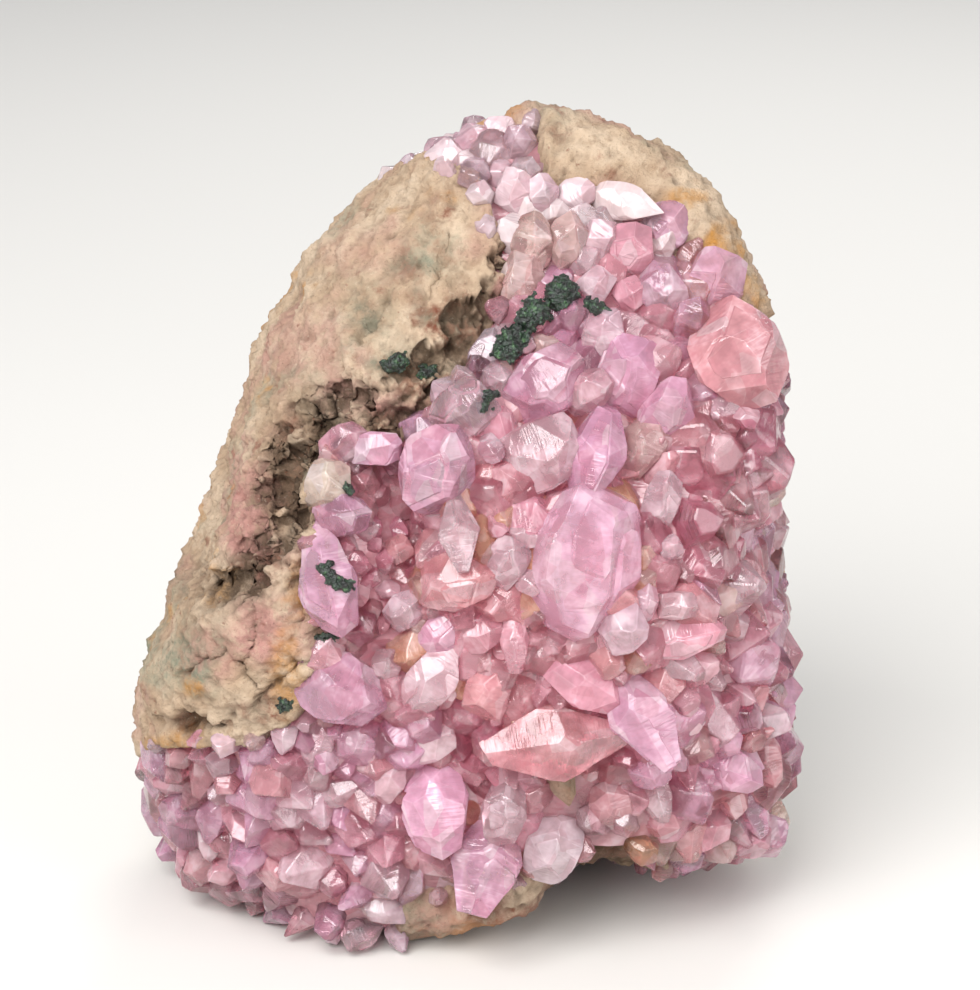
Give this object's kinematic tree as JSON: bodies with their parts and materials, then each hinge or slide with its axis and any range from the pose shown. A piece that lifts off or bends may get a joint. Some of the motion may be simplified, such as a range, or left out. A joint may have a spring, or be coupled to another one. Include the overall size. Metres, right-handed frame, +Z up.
{
  "type": "cobaltoan calcite specimen",
  "caption": "Egg-shaped lump of pale host rock that rests upright on a flat broken underside, its front and crest lined with a druse of pointed translucent pink crystals and dark green grains.",
  "frame": {"origin": "centre of the object's box at the level of the flat underside that it rests on", "axes": "+Z up, along its longest side; the druse faces -Y; +X is to the right as the druse is faced"},
  "size_m": [0.0517, 0.037, 0.0614],
  "materials": {
    "host_rock": "dry, matt, finely pitted carbonate rock, tan with grey-green, brown and rusty patches",
    "cobaltoan_calcite": "translucent rose-pink crystal with a vitreous lustre and fine inner fractures",
    "malachite": "dark green, matt, finely granular"
  },
  "bodies": {
    "root": {"matrix_rock": "host_rock", "calcite_druse": "cobaltoan_calcite", "malachite_nodule_upper": "malachite", "malachite_nodule_middle": "malachite", "malachite_nodule_lower": "malachite", "malachite_streak_right": "malachite", "malachite_fleck_hollow": "malachite", "malachite_fleck_edge": "malachite", "malachite_fleck_edge_right": "malachite", "malachite_fleck_rim": "malachite", "malachite_fleck_blade": "malachite", "malachite_seam_left": "malachite", "malachite_fleck_left": "malachite"}
  },
  "joints": []
}
